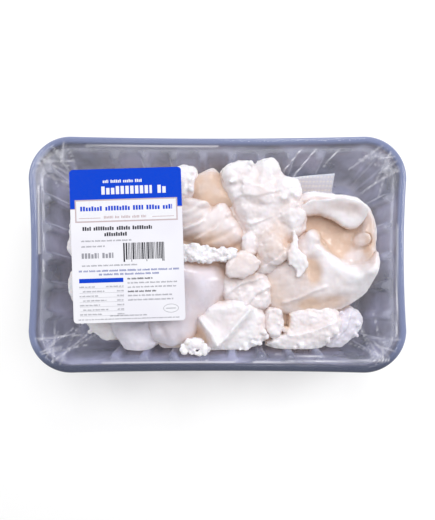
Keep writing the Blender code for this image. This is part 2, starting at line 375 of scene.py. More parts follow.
def round_off(outline, steps=6):
    """A closed outline through its corner points, bent smoothly."""
    points = np.array(outline, dtype=float)
    before, after, later = np.roll(points, 1, 0), np.roll(points, -1, 0), np.roll(points, -2, 0)
    found = []
    for i in range(len(points)):
        for step in range(steps):
            t = step / steps
            found.append(0.5 * (2 * points[i] + (after[i] - before[i]) * t
                                + (2 * before[i] - 5 * points[i] + 4 * after[i] - later[i]) * t * t
                                + (3 * points[i] - before[i] - 3 * after[i] + later[i]) * t ** 3))
    found = np.array(found)
    along = np.roll(found, -1, 0) - np.roll(found, 1, 0)
    turning = np.sign(np.sum(points[:, 0] * after[:, 1] - after[:, 0] * points[:, 1]))
    outward = turning * np.stack([along[:, 1], -along[:, 0]], 1)
    return found + SKIN_SPREAD * outward / np.maximum(np.hypot(*outward.T), 1e-6)[:, None]


def add_slab(outline, top, edge_z, roundness, slope=(0.0, 0.0), base=FOOT_BOTTOM):
    """A thick slab of flesh of that outline, with a rounded edge, its top tilted by a slope."""
    rim = round_off(outline)
    low, high = rim.min(0), rim.max(0)
    middle = (low + high) / 2
    across = np.arange(low[0] - SLAB_STEP, high[0] + 2 * SLAB_STEP, SLAB_STEP)
    along = np.arange(low[1] - SLAB_STEP, high[1] + 2 * SLAB_STEP, SLAB_STEP)
    xs, ys = np.meshgrid(across, along, indexing="ij")
    places = np.stack([xs.ravel(), ys.ravel()], 1)
    away, _ = line_distance(places, [tuple(p) for p in rim] + [tuple(rim[0])])
    within = np.zeros(len(places), dtype=bool)
    for (ax, ay), (bx, by) in zip(rim, np.roll(rim, -1, 0)):
        crosses = (ay > places[:, 1]) != (by > places[:, 1])
        at = ax + (places[:, 1] - ay) / (by - ay if by != ay else 1e-9) * (bx - ax)
        within ^= crosses & (places[:, 0] < at)
    full = np.sqrt(1 - (1 - np.clip(away / roundness, 0, 1)) ** 2)
    tops = edge_z + (top - edge_z + (places - middle) @ np.array(slope)) * full
    bases = edge_z + (base - edge_z) * np.sqrt(full)
    work = bmesh.new()
    shape = xs.shape
    index = np.arange(len(places)).reshape(shape)
    upper, lower = {}, {}
    for i in np.nonzero(within)[0]:
        x, y = places[i]
        upper[i] = work.verts.new((x * MM, y * MM, tops[i] * MM))
        lower[i] = work.verts.new((x * MM, y * MM, bases[i] * MM - 1e-5))
    for i in range(shape[0] - 1):
        for j in range(shape[1] - 1):
            corners = (index[i, j], index[i + 1, j], index[i + 1, j + 1], index[i, j + 1])
            if all(c in upper for c in corners):
                work.faces.new([upper[c] for c in corners])
                work.faces.new([lower[c] for c in reversed(corners)])
    partner = {upper[i]: lower[i] for i in upper}
    for edge in [e for e in work.edges if len(e.link_faces) == 1 and e.verts[0] in partner]:
        a, b = edge.verts
        work.faces.new((a, b, partner[b], partner[a]))
    bmesh.ops.delete(work, geom=[v for v in work.verts if not v.link_faces], context="VERTS")
    return piece_from(work, "slab")


def melt(name, slabs=(), lumps=(), voxel=0.9, soften=6):
    """One piece melted from slabs (outline, top, edge height, rounding, slope, base) and lumps.

    A lump is (x, y, z, half sizes in x, y and z, turn, tilt), in millimetres and degrees.
    """
    bpy.ops.object.select_all(action="DESELECT")
    made = [add_slab(*slab) for slab in slabs]
    for x, y, z, rx, ry, rz, *angles in lumps:
        made.append(add_lump(x, y, z, rx, ry, rz, *angles))
    for part in made:
        part.select_set(True)
    bpy.context.view_layer.objects.active = made[0]
    bpy.ops.object.join()
    piece = bpy.context.object
    piece.name = name
    bpy.ops.object.transform_apply(location=True, rotation=True, scale=True)
    reshape(piece, "skin", "REMESH", mode="VOXEL", voxel_size=voxel * MM)
    reshape(piece, "soften", "SMOOTH", factor=0.5, iterations=soften)
    return piece


def ruffle(piece, size, depth):
    """Push the skin in and out by a cloudy pattern of that size and depth in millimetres."""
    pattern = bpy.data.textures.new(piece.name + "_clouds", "CLOUDS")
    pattern.noise_scale = size * MM
    pattern.noise_depth = 2
    reshape(piece, "ruffle", "DISPLACE", texture=pattern, texture_coords="LOCAL",
            strength=depth * MM, mid_level=0.5)


def skin_points(piece):
    """(points in millimetres, vertex normals) of a piece."""
    count = len(piece.data.vertices)
    points = np.empty(count * 3, dtype=np.float32)
    piece.data.vertices.foreach_get("co", points)
    facing = np.empty(count * 3, dtype=np.float32)
    piece.data.vertex_normals.foreach_get("vector", facing)
    return points.reshape(-1, 3) / MM, facing.reshape(-1, 3)


def put_points(piece, points):
    """Move a piece's vertices to points in millimetres."""
    piece.data.vertices.foreach_set("co", (points * MM).astype(np.float32).ravel())
    piece.data.update()


def line_distance(points, line):
    """Distance from each point to a line of (x, y) points, and its side (1 left, -1 right)."""
    best = np.full(len(points), 1e9)
    side = np.zeros(len(points))
    for (ax, ay), (bx, by) in zip(line, line[1:]):
        dx, dy = bx - ax, by - ay
        along = np.clip(((points[:, 0] - ax) * dx + (points[:, 1] - ay) * dy) / (dx * dx + dy * dy), 0, 1)
        off_x = points[:, 0] - ax - along * dx
        off_y = points[:, 1] - ay - along * dy
        away = np.hypot(off_x, off_y)
        nearer = away < best
        best = np.where(nearer, away, best)
        side = np.where(nearer, np.sign(dx * off_y - dy * off_x), side)
    return best, side


def fold(piece, line, width, height):
    """Raise a ridge, or with a negative height press a valley, along a line seen from above."""
    points, facing = skin_points(piece)
    away, _ = line_distance(points, line)
    up = np.clip(facing[:, 2] * FACE_UP, 0, 1)
    points[:, 2] += height * np.exp(-(away / width) ** 2) * up
    put_points(piece, points)


def tear(piece, line, width, height):
    """Lift the flesh on the left of a line into a lip that fades out over a width."""
    points, facing = skin_points(piece)
    away, side = line_distance(points, line)
    up = np.clip(facing[:, 2] * FACE_UP, 0, 1)
    lip = np.clip(0.5 + side * away / LIP_EDGE, 0, 1) * np.exp(-away / width)
    points[:, 2] += height * lip * up
    put_points(piece, points)


def crumbs(seed, count, x, y, z, spread_x, spread_y, size):
    """Small lumps scattered about a place, as torn flesh breaks up."""
    draw = random.Random(seed)
    found = []
    for _ in range(count):
        angle = draw.uniform(0, 2 * math.pi)
        reach = math.sqrt(draw.uniform(0.15, 1.0))
        radius = size * draw.uniform(0.55, 1.2)
        found.append((x + spread_x * reach * math.cos(angle), y + spread_y * reach * math.sin(angle),
                      z + draw.uniform(-2.5, 1.5), radius * draw.uniform(0.8, 1.6), radius, radius * 0.8,
                      draw.uniform(0, 180)))
    return found


def tint(piece, whole, *places):
    """Store the flesh's tone and its painted shade, in all and at (x, y, half length, half width, turn,
    amount); a negative amount paints a lighter highlight.
    """
    points, _ = skin_points(piece)
    tone_and_shade_values = np.full(len(points), whole)
    for x, y, long, wide, turn, warmth in places:
        angle = math.radians(turn)
        u = (points[:, 0] - x) * math.cos(angle) + (points[:, 1] - y) * math.sin(angle)
        v = (points[:, 1] - y) * math.cos(angle) - (points[:, 0] - x) * math.sin(angle)
        # Each place adds tan painted shade, or with a negative amount a painted highlight, fading out at
        # its edge.
        tone_and_shade_values += warmth / (1 + np.exp(6 * (np.hypot(u / long, v / wide) - 1)))
    mark = piece.data.attributes.new("warmth", "FLOAT", "POINT")
    mark.data.foreach_set("value", tone_and_shade_values.astype(np.float32))


def keep_inside(piece):
    """Press the piece softly under the film, off the pad, and clear of the ribbed wall."""
    points, _ = skin_points(piece)
    z = points[:, 2]
    soft_from = FILM_UNDERSIDE - SOFT_LIMIT
    over = z > soft_from
    z[over] = soft_from + SOFT_LIMIT * (1 - np.exp(-(z[over] - soft_from) / SOFT_LIMIT))
    z = np.maximum(z, PAD_TOP)
    room = np.interp(z, WALL_HEIGHTS, WALL_ROOM) - WALL_BOW * z / RIM
    over_x = np.maximum(np.abs(points[:, 0]) - CORE_X, 0)
    over_y = np.maximum(np.abs(points[:, 1]) - CORE_Y, 0)
    reach = np.hypot(over_x, over_y)
    pull = np.where(reach > room, room / np.maximum(reach, 1e-6), 1.0)
    points[:, 0] = np.sign(points[:, 0]) * (np.abs(points[:, 0]) - over_x * (1 - pull))
    points[:, 1] = np.sign(points[:, 1]) * (np.abs(points[:, 1]) - over_y * (1 - pull))
    points[:, 2] = z
    put_points(piece, points)


def finish_cod(piece, stands_for):
    """Press a piece of cod into its place and hand it over for the node that it replaces."""
    keep_inside(piece)
    pick(piece)
    bpy.ops.object.shade_smooth()
    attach(piece, "root")
    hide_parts(stands_for)
    cod_pieces.append(piece)


# Large fillet curled over at the right: a bulging lobe in front, a band that runs round the
# back, and a thin flap across the hollow between them.
lobe = [(53, 16), (58, 17.5), (63, 17), (67, 12.5), (72, 6.5), (79, 0), (86, -3.5), (93, -2),
        (100, 4), (102, -4), (101, -12), (97, -21), (92, -26), (84.5, -31), (74.5, -34.5),
        (62, -36.5), (49, -37), (40, -35), (32.5, -30.5), (29.5, -23), (29, -13), (32, -4), (40, 3),
        (48, 12)]
around = [(44, 34), (52, 39), (57, 42), (65, 43), (75, 42), (83, 40.5), (91, 39), (98.5, 33),
          (101.5, 26), (103, 17), (103, 5), (101, -9), (98.5, -17), (90, -26), (70, -24), (50, -10),
          (42, 10)]
flap = [(50, 27), (55, 33), (66, 34.5), (80, 35), (91, 31), (92, 24), (85, 17.5), (77, 21),
        (68, 25.5), (60, 27)]
band = [(52, 38), (62, 39), (72, 38.5), (82, 37), (91, 34), (98, 26), (99, 14), (98.5, 3), (97, -8)]
curl = melt("curled_fillet",
            [(lobe, 36, 22, 17, (0.02, 0.05)), (around, 27, 18, 10),
             (flap, 37.5, 34.5, 6, (-0.02, -0.06), 30)],
            [(60, 12, 32, 6, 6, 5, 0), (92, 11, 28, 5, 5, 3.5, 0)], voxel=0.8)
fold(curl, band, 6.5, 8.5)
fold(curl, [(57, 13), (67, 3), (77, -7), (87, -12), (94, -11)], 7.5, 4.0)
fold(curl, [(36, -20), (46, -23), (60, -28), (74, -28)], 8.0, -1.6)
fold(curl, [(42, -29), (50, -27), (60, -22), (68, -19)], 1.2, 1.0)
fold(curl, [(48, -31), (58, -31), (70, -29), (80, -26)], 3.0, -0.9)
fold(curl, [(58, -4), (62, -13)], 4.0, -1.3)
tear(curl, [(57, -13), (56, -2), (58, 8)], 2.4, 0.8)
tear(curl, [(54, 35), (62, 38), (72, 36), (80, 38)], 3.0, 1.0)
tear(curl, [(90, 34), (93, 24), (92, 16)], 3.0, 0.8)
ruffle(curl, 15, 2.4)
ruffle(curl, 6, 1.2)
# A tan patch on the lobe; painted shade in the hollow under the flap, on its right side and on the lobe's
# lower front; a painted highlight along the ridge (the negative amount).
tint(curl, 0.12, (60, -9, 5.0, 9, 18, 0.5), (44, -22, 17, 11, -15, 0.3), (68, -29, 15, 5, 8, 0.45),
     (70, 13, 15, 8, -45, 0.85), (86, 12, 7, 8, 0, 0.3), (98, 10, 5, 18, 0, 0.6),
     (80, 30, 10, 3, -5, 0.2), (80, -8, 17, 4.5, -32, -0.3))
finish_cod(curl, "cod_fillet_right")

# Fluffy clump at the centre, torn across the grain so that it has broken into soft knobs.
long_clump = [(2, 54), (6, 58), (15, 62), (22.5, 60.5), (26, 58.5), (30, 62.5), (36.5, 61),
              (39, 55.5), (44, 49), (49, 41.5), (54, 36.5), (57, 30), (57, 22), (55, 15), (49, 11),
              (46, 4), (41, -5), (34, -10), (27, -11), (24, -7), (24, 3), (21, 12.5), (17, 19),
              (13.5, 25), (9.5, 31.5), (5.5, 40), (2, 47)]
torn = [(47, 15), (50, 11), (50, 4), (53.5, 0), (55, -7.5), (50, -14), (48, -8.6), (44.5, -6),
        (43.5, -1), (45.5, 6)]
under_clump = [(0, 52), (16, 60), (38, 58), (52, 42), (58, 20), (50, 0), (42, -12), (26, -12),
               (14, 0), (4, 30)]
knob = [(14.8, 11), (17.3, 14.7), (21.7, 15.3), (24.5, 11), (25, 4.6), (23, 1), (18.6, -0.4),
        (15.4, 4.6)]
knobs = [(11, 51, 35, 9, 8, 6, 20), (31, 55, 34, 8, 8, 6, 10), (42, 40, 36, 11, 10, 5, 30),
         (25, 40, 37, 12, 9, 4.5, -20), (46, 26, 36, 9, 9, 5, 10), (35, 5, 36, 10, 11, 4.5, 20)]
loose = crumbs(3, 18, 20, 50, 39, 13, 9, 1.8) + crumbs(4, 12, 44, 35, 39.5, 7, 8, 1.6)
clump = melt("centre_clump",
             [(long_clump, 38.5, 28, 12, (0.0, 0.03)), (under_clump, 31, 24, 8),
              (torn, 40.6, 39.2, 1.5, (0, 0.06), 33), (knob, 37, 32, 5, (0, 0), 20)],
             knobs + loose, voxel=0.6, soften=10)
ruffle(clump, 9, 3.0)
ruffle(clump, 4.0, 1.0)
ruffle(clump, 1.8, 0.25)
tear(clump, [(9, 34), (14, 37), (24, 36), (32, 38)], 8.0, 1.3)
tear(clump, [(16, 22), (21, 19), (26, 21)], 6.0, 1.4)
fold(clump, [(26, 24), (40, 21), (53, 22)], 4.0, -0.8)
tear(clump, [(26, -7), (31, -5), (38, -1), (43, 5)], 3.0, -1.0)
fold(clump, [(25, 60), (26, 52), (24, 46)], 2.2, -2.0)
tint(clump, 0.1, (36, 8, 10, 13, 0, 0.34), (46, 30, 6, 5, 0, 0.2), (26, 40, 5, 9, 0, 0.15),
     (50, 2, 3, 10, -10, -0.3))
finish_cod(clump, "cod_lump_centre")

# Fillet at the left with glossy creases that run across it.
under_crease = [(-38, 36), (-10, 46), (12, 44), (22, 26), (24, 8), (14, -3), (-8, -2), (-30, 2)]
crossed = [(-36, 33), (-27, 37), (-17, 37), (-11, 35), (-5, 33), (1, 35), (6, 35), (10, 28),
           (16, 19), (17, 11), (10, 6), (2, 5), (-8, 6), (-17, 10), (-27, 12), (-35, 19)]
crease = melt("creased_fillet", [(crossed, 37.5, 25, 11, (-0.04, 0.05)), (under_crease, 30, 24, 8)],
              [(-16, 33, 33, 12, 4, 5, -6)], voxel=0.75)
fold(crease, [(-34, 24), (-18, 27), (-6, 35)], 2.0, 2.0)
fold(crease, [(-26, 15), (-12, 20), (1, 33)], 1.3, 1.7)
fold(crease, [(-14, 11), (-2, 17), (8, 28)], 1.3, 1.6)
fold(crease, [(-22, 19), (-8, 24), (-2, 31)], 1.5, -1.8)
fold(crease, [(-20, 11), (-6, 15), (5, 24)], 1.5, -1.5)
fold(crease, [(-8, 9), (4, 13), (13, 19)], 1.6, -1.2)
ruffle(crease, 12, 1.6)
tint(crease, 0.28, (-4, 12, 20, 4, 8, 0.2))
finish_cod(crease, "cod_fillet_left")

# Big smooth fillet in front of the label, bare and grey-white, sloping down to the right.
under_bare = [(-40, 4), (-10, 4), (14, 4), (32, -6), (40, -24), (40, -40), (20, -40), (-6, -34),
              (-16, -54), (-40, -54)]
bare = [(-36, -3), (-19, 0), (-8, -2), (0, -3), (9, -11), (9, -19), (-1, -29), (-8, -38),
        (-13, -48), (-17, -54), (-25, -56), (-35, -55), (-44, -50), (-46, -27), (-41, -11)]
slope = melt("smooth_fillet", [(bare, 38, 24, 14, (-0.14, 0.02)), (under_bare, 26, 20, 8)],
             [(-30, -46, 31, 7, 11, 8, 12)])
fold(slope, [(-26, -6), (-12, -14), (-2, -26)], 7.0, 1.6)
fold(slope, [(-36, -42), (-32, -50), (-30, -58)], 2.2, -1.6)
ruffle(slope, 20, 2.2)
tint(slope, 0.26, (10, -12, 9, 9, 0, 0.15))
finish_cod(slope, "cod_fillet_front")

# Folded piece at the front, its skin side drawn up into a V, with a crumbled edge.
folded = [(-17, -46), (-15, -40), (-7, -32), (1, -28), (13, -25), (20, -25), (26, -29), (31, -38),
          (32, -48), (28, -55), (18, -59), (8, -61), (-2, -61), (-11, -57)]
loose = crumbs(7, 40, 22, -46, 30, 10, 11, 1.8) + crumbs(8, 20, 8, -58, 29, 14, 3, 1.6)
vee = melt("folded_piece", [(folded, 33, 24, 11, (-0.02, 0.08))], loose, voxel=0.6, soften=3)
fold(vee, [(-13, -37), (-9, -42), (-4, -48), (0, -56)], 2.2, 4.6)
fold(vee, [(0, -56), (6, -50), (14, -41), (20, -34)], 2.2, 4.0)
fold(vee, [(-3, -42), (2, -46)], 4.5, -2.2)
fold(vee, [(-4, -33), (6, -32), (14, -31)], 4.0, 2.0)
fold(vee, [(-14, -48), (-8, -54)], 3.0, -3.0)
ruffle(vee, 7, 1.6)
ruffle(vee, 3.0, 0.8)
# Painted shade: a tan patch in the recess at the V's left end.
tint(vee, 0.0, (-12, -49, 5, 7, 20, 0.5), (28, -46, 4, 8, 0, 0.15))
finish_cod(vee, "cod_fold_front")

# Crumbly pieces at the front right, the lowest in the heap.
low_crumbs = [(32, -55), (38, -50), (45, -46), (46, -38), (50, -33), (68, -30), (79, -35),
              (80, -44), (74, -53), (64, -59), (52, -60.5), (40, -59)]
under_crumbs = [(28, -52), (30, -34), (40, -24), (60, -22), (84, -26), (88, -44), (70, -52),
                (48, -54)]
corner_crumbs = [(72, -41), (79, -34), (88, -31), (95, -37), (94, -46), (88, -54), (79, -58),
                 (71, -55)]
for name, outline, top, slope_by, seed, warmth, below, node in (
        ("crumbled_piece", low_crumbs, 30, (0.0, 0.1), 11, 0.14, [(under_crumbs, 22, 17, 5)],
         "cod_crumble_right"),
        ("corner_crumble", corner_crumbs, 26, (0.0, 0.05), 12, 0.04, [], "cod_crumble_corner")):
    x, y = np.mean(outline, axis=0)
    wide, deep = np.ptp(np.array(outline), axis=0) / 2
    loose = crumbs(seed, 34, x, y, top - 2, wide * 0.84, deep * 0.74, 1.9)
    crumbled = melt(name, [(outline, top, top - 9, 8, slope_by)] + below, loose, voxel=0.6, soften=5)
    ruffle(crumbled, 8, 3.2)
    ruffle(crumbled, 3.2, 0.9)
    ruffle(crumbled, 1.6, 0.25)
    tear(crumbled, [(70, -43), (63, -46), (51, -49), (41.6, -49.3), (35, -54)], 5.0, 2.0)
    tear(crumbled, [(78, -52), (84, -45), (86, -37)], 4.0, 1.4)
    # Painted shade: a tan patch in the gap between the crumbs and the upright flake.
    tint(crumbled, warmth, (44.5, -39, 2.5, 7, 0, 0.7))
    finish_cod(crumbled, node)

# The ragged strip of flakes, the yellow-white chip, and the loose crumbs at the front.
ragged = [(-24, 6), (-17, 7), (-9, 6), (-1, 4.5), (8, 5), (13, 3), (8, -2), (0, -3), (-8, -5),
          (-15, -3), (-24, -2)]
strip = melt("flake_strip", [(ragged, 41.2, 39, 3, (0, 0), 37)],
             crumbs(21, 60, -6, 1, 40.5, 18, 4.0, 1.3), voxel=0.5, soften=2)
ruffle(strip, 3.2, 3.0)
ruffle(strip, 1.4, 0.8)
tint(strip, -0.15)
finish_cod(strip, "cod_flake_strip")

chipped = [(5, -7), (9, 0), (15, 2.5), (21, 1), (26.5, -4), (22, -10.5), (14, -14), (7, -13)]
chip = melt("chip", [(chipped, 41.5, 38, 6, (0, 0), 30)], voxel=0.6, soften=3)
ruffle(chip, 7, 2.2)
tint(chip, 0.36)
finish_cod(chip, "cod_chip")

fallen = [(-15, -55, 34, 7, 4, 4, 10), (-8, -59, 37, 2, 3.5, 2, 0)]
front_crumb = melt("front_crumb", (), fallen + crumbs(23, 44, -14, -57, 36, 9, 5, 1.5),
                   voxel=0.5, soften=2)
ruffle(front_crumb, 3, 1.4)
tint(front_crumb, -0.1)
finish_cod(front_crumb, "cod_crumb_front")

# Plain soft pieces that fill the rest of the tray, behind, beside and below the label.
rear = [(-17, 48), (-12, 54), (-3, 57.5), (2, 53), (7, 46), (13, 34), (-2, 31), (-11, 31),
        (-17, 39)]
beside_label = [(-37, 54), (-27, 58), (-17, 59), (-12, 54), (-14, 47), (-15, 39), (-24, 35),
                (-36, 38)]
front_fold = [(2, -10), (12, -8), (24, -7), (32, -12), (35, -20), (33, -32), (24, -34), (14, -30),
              (4, -26)]
upright = [(31, -34), (36, -31), (42, -35), (42, -47), (38, -52), (31, -48)]
front_left = [(-72, -36), (-68, -46), (-64, -53), (-58, -59), (-52, -62), (-46, -60), (-40, -56),
              (-37, -46), (-42, -30), (-63, -28)]
corner = [(-92, -33), (-86, -42), (-80, -49), (-72, -53), (-65, -51), (-62, -40), (-70, -26),
          (-88, -27)]
rear_left = [(-84, 34), (-80, 46), (-72, 55), (-60, 53), (-48, 56), (-38, 57), (-33, 48), (-34, 38),
             (-50, 32), (-70, 31)]
left = [(-94, 2), (-95, 14), (-93, 26), (-84, 33), (-66, 33), (-52, 24), (-48, 8), (-56, -4),
        (-78, -6)]
left_front = [(-93, -8), (-95, -18), (-92, -28), (-82, -34), (-64, -33), (-50, -26), (-48, -12),
              (-58, -5), (-80, -4)]
for name, outline, top, rounding, size, depth, warmth, count, node in (
        ("rear_lump", rear, 35, 9, 14, 1.8, 0.62, 0, "cod_lump_rear"),
        ("label_side_lump", beside_label, 36, 7, 5, 2.4, 0.0, 8, "cod_lump_label"),
        ("front_flap", front_fold, 33, 6, 6, 3.2, 0.12, 30, "cod_flap_front"),
        ("upright_flake", upright, 31, 4, 5, 2.6, 0.12, 16, "cod_flake_upright"),
        ("front_left_lump", front_left, 34, 9, 9, 2.8, 0.0, 0, "cod_lump_front_left"),
        ("corner_lump", corner, 30, 8, 8, 2.8, 0.0, 12, "cod_lump_corner"),
        ("rear_left_lump", rear_left, 36, 8, 7, 3.0, 0.05, 8, "cod_lump_rear_left"),
        ("left_lump", left, 37, 10, 9, 2.8, 0.05, 0, "cod_lump_left"),
        ("left_front_lump", left_front, 37, 10, 9, 2.8, 0.0, 0, "cod_lump_left_front")):
    x, y = np.mean(outline, axis=0)
    wide, deep = np.ptp(np.array(outline), axis=0) / 2
    loose = crumbs(len(name), count, x, y, top - 1.5, wide * 0.8, deep * 0.8, 1.9)
    soft = melt(name, [(outline, top, top - 10, rounding)], loose, voxel=0.75, soften=4)
    ruffle(soft, size, depth)
    ruffle(soft, size / 2.5, depth / 3)
    if soft.name == "front_flap":
        tear(soft, [(6, -24), (14, -18), (24, -15)], 4.0, 2.0)
        tear(soft, [(18, -32), (24, -24), (32, -20)], 4.0, 1.8)
    tint(soft, warmth)
    finish_cod(soft, node)

# Painted shade: recesses in the heap are painted a darker tan, where shade falls and light is lost in the
# flesh. Each point's recess is how far it lies below the blurred top of the heap around it.
GRID = 2.0
FLOOR_HEIGHT = 8.0
BLUR_ROUNDS = 14
RECESS_DEPTH = 9.0
RECESS_PAINTED_SHADE = 0.6
LEVEL_RECESS = 0.25
TONE_AND_SHADE_SHIFT = -0.07
columns = int(2 * (CORE_X + FLANGE_ROUND) / GRID) + 2
rows = int(2 * (CORE_Y + FLANGE_ROUND) / GRID) + 2
heap_top = np.full((columns, rows), FLOOR_HEIGHT)


def grid_cells(points):
    """The (column, row) of the grid cell that each point lies in."""
    across = ((points[:, 0] + CORE_X + FLANGE_ROUND) / GRID).astype(int)
    along = ((points[:, 1] + CORE_Y + FLANGE_ROUND) / GRID).astype(int)
    return across, along


for piece in cod_pieces:
    points, _ = skin_points(piece)
    np.maximum.at(heap_top, grid_cells(points), points[:, 2])
blurred = heap_top.copy()
for _ in range(BLUR_ROUNDS):
    near = [np.roll(blurred, step, axis) for axis in (0, 1) for step in (-1, 1)]
    blurred = 0.5 * blurred + 0.125 * sum(near)
for piece in cod_pieces:
    points, _ = skin_points(piece)
    recess = (blurred[grid_cells(points)] - points[:, 2]) / RECESS_DEPTH + LEVEL_RECESS
    tone_and_shade_values = np.empty(len(points), dtype=np.float32)
    mark = piece.data.attributes["warmth"]
    mark.data.foreach_get("value", tone_and_shade_values)
    # Add the painted shade of each point's recess to the tone stored on it.
    tone_and_shade_values = np.clip(RECESS_PAINTED_SHADE * recess + tone_and_shade_values + TONE_AND_SHADE_SHIFT, 0, 1)
    mark.data.foreach_set("value", tone_and_shade_values.astype(np.float32))

# Wet flesh, milky white where it stands up and darker tan in recesses, the tan being painted shade from
# the stored attribute; bare fillets and the corner piece are greyer.
FLESH = {"wet_cod_flesh": ((0.2, (0.95, 0.93, 0.94)), (0.45, (0.92, 0.86, 0.86)),
                           (0.72, (0.82, 0.715, 0.68)), (1.0, (0.76, 0.56, 0.43))),
         "bare_cod_flesh": ((0.2, (0.86, 0.84, 0.91)), (0.45, (0.81, 0.77, 0.84)),
                            (0.72, (0.78, 0.69, 0.70)), (1.0, (0.74, 0.58, 0.50)))}
for name, stops in FLESH.items():
    flesh, nodes, links, shader = plain_material(name, (0.9, 0.85, 0.8), 0.3)
    low = nodes.new("ShaderNodeAttribute")
    low.attribute_name = "warmth"
    mottle = object_noise(nodes, links, 90.0, 4.0)
    # Random mottling on top of the stored tone and painted shade picks the colour from the ramp.
    mottled_tone_and_shade = math_node(nodes, links, "MULTIPLY_ADD", mottle, 0.5, low.outputs["Fac"])
    links.new(ramp(nodes, links, mottled_tone_and_shade, stops), shader.inputs["Base Color"])
    wet = object_noise(nodes, links, 150.0, 3.0)
    gloss = ramp(nodes, links, wet, ((0.3, (0.2,) * 3), (0.7, (0.42,) * 3)))
    links.new(gloss, shader.inputs["Roughness"])
    shader.inputs["Subsurface Weight"].default_value = 0.2
    shader.inputs["Subsurface Radius"].default_value = (1.0, 0.7, 0.5)
    shader.inputs["Subsurface Scale"].default_value = 0.003
    shader.inputs["Coat Weight"].default_value = 0.55
    shader.inputs["Coat Roughness"].default_value = 0.1
    bump(nodes, links, object_noise(nodes, links, 420.0, 3.0, (1.0, 0.45, 1.0)), 0.16, 0.0005, shader)
for piece in cod_pieces:
    is_bare = piece.name in ("smooth_fillet", "front_left_lump", "corner_crumble")
    piece.data.materials.clear()
    piece.data.materials.append(bpy.data.materials["bare_cod_flesh" if is_bare else "wet_cod_flesh"])


# ---- Lidding film -----------------------------------------------------------------------
# Clear film about 0.05 mm thick, heat-sealed to the flange and pushed up a little by the gas
# in the pack. It puckers at the corners, where creases run in from the seal.

FILM_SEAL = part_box("film")[0][2] / MM + 0.12
FILM_THICK = 0.1
FILM_RISE = 1.0
FILM_REACH = 24.0
FILM_STEP = 1.0
SEAL_EDGE = 20.5
RISE_OFFSETS = (6.0, 9.0, 12.5, 16.0, 19.5, 21.6, 22.4, 24.0)
RISE_SHARES = (1.0, 0.96, 0.84, 0.62, 0.32, 0.08, 0.0, 0.0)
CORNER_CREASES = 11
LONG_PAINTED_SHEEN = 2.2
creases = []


def crease_in(corner_x, corner_y, start, end, width, height, white=1.0):
    """A crease between two places given as distances in from a corner, and how white its painted sheen
    makes it.
    """
    edge_x, edge_y = CORE_X + SEAL_EDGE, CORE_Y + SEAL_EDGE
    line = [(corner_x * (edge_x - x), corner_y * (edge_y - y)) for x, y in (start, end)]
    creases.append((line, width, height, white))


for corner_x, corner_y, seed in ((-1, -1, 41), (1, -1, 42), (1, 1, 43), (-1, 1, 44)):
    draw = random.Random(seed)
    for _ in range(CORNER_CREASES):
        angle = math.radians(draw.uniform(5, 85))
        out_x = SEAL_EDGE - 1 - SEAL_EDGE * math.cos(angle)
        out_y = SEAL_EDGE - 1 - SEAL_EDGE * math.sin(angle)
        reach = draw.uniform(8, 34)
        lean = angle + math.radians(draw.uniform(-32, 32))
        crease_in(corner_x, corner_y, (out_x, out_y),
                  (out_x + reach * math.cos(lean), out_y + reach * math.sin(lean)),
                  draw.uniform(0.3, 0.65), draw.uniform(0.15, 0.42) * draw.choice((-1, 1)))
for corner_x, corner_y, start, end, width, height in (
        (-1, -1, (40, 1.2), (120, 1.6), 0.7, 0.35), (1, -1, (6, 2.5), (88, 1.4), 0.7, 0.35),
        (-1, 1, (1.6, 26), (2.2, 66), 0.9, 0.4), (1, -1, (1.4, 16), (1.2, 84), 0.7, 0.25),
        (-1, 1, (30, 1.2), (110, 1.8), 0.7, 0.25), (1, 1, (50, 3), (64, 20), 0.5, 0.3),
        (1, 1, (58, 2), (70, 17), 0.4, 0.25), (1, 1, (36, 3), (46, 14), 0.4, -0.3),
        (-1, -1, (3, 20), (4.5, 62), 0.5, 0.3), (1, -1, (30, 4), (75, 6), 0.4, 0.3)):
    crease_in(corner_x, corner_y, start, end, width, height, LONG_PAINTED_SHEEN)

work = bmesh.new()
SPAN_X = CORE_X + FILM_REACH
SPAN_Y = CORE_Y + FILM_REACH
count_x = int(2 * SPAN_X / FILM_STEP)
count_y = int(2 * SPAN_Y / FILM_STEP)
columns = [(i / count_x - 0.5) * 2 * SPAN_X for i in range(count_x + 1)]
rows = [(j / count_y - 0.5) * 2 * SPAN_Y for j in range(count_y + 1)]


def onto_flange(x, y):
    """Pull a rectangular grid point into the flange's rounded, slightly bowed outline."""
    over_x = max(0.0, abs(x) - CORE_X)
    over_y = max(0.0, abs(y) - CORE_Y)
    longest = max(over_x, over_y)
    away = math.hypot(over_x, over_y)
    pull = longest / away if away > 0 else 1.0
    x = math.copysign(min(abs(x), CORE_X) + over_x * pull, x)
    y = math.copysign(min(abs(y), CORE_Y) + over_y * pull, y)
    if over_x > 0:
        x -= math.copysign(BOW[True] * (over_x / FILM_REACH) * max(0.0, 1 - (y / CORE_Y) ** 2), x)
    if over_y > 0:
        y -= math.copysign(BOW[False] * (over_y / FILM_REACH) * max(0.0, 1 - (x / CORE_X) ** 2), y)
    return x, y, longest


film_points = []
for column in columns:
    for row in rows:
        x, y, over = onto_flange(column, row)
        share = np.interp(over, RISE_OFFSETS, RISE_SHARES)
        film_points.append((x, y, FILM_SEAL + FILM_RISE * share))
film_points = np.array(film_points)
inside = np.clip((film_points[:, 2] - FILM_SEAL) / FILM_RISE * 1.6, 0, 1)
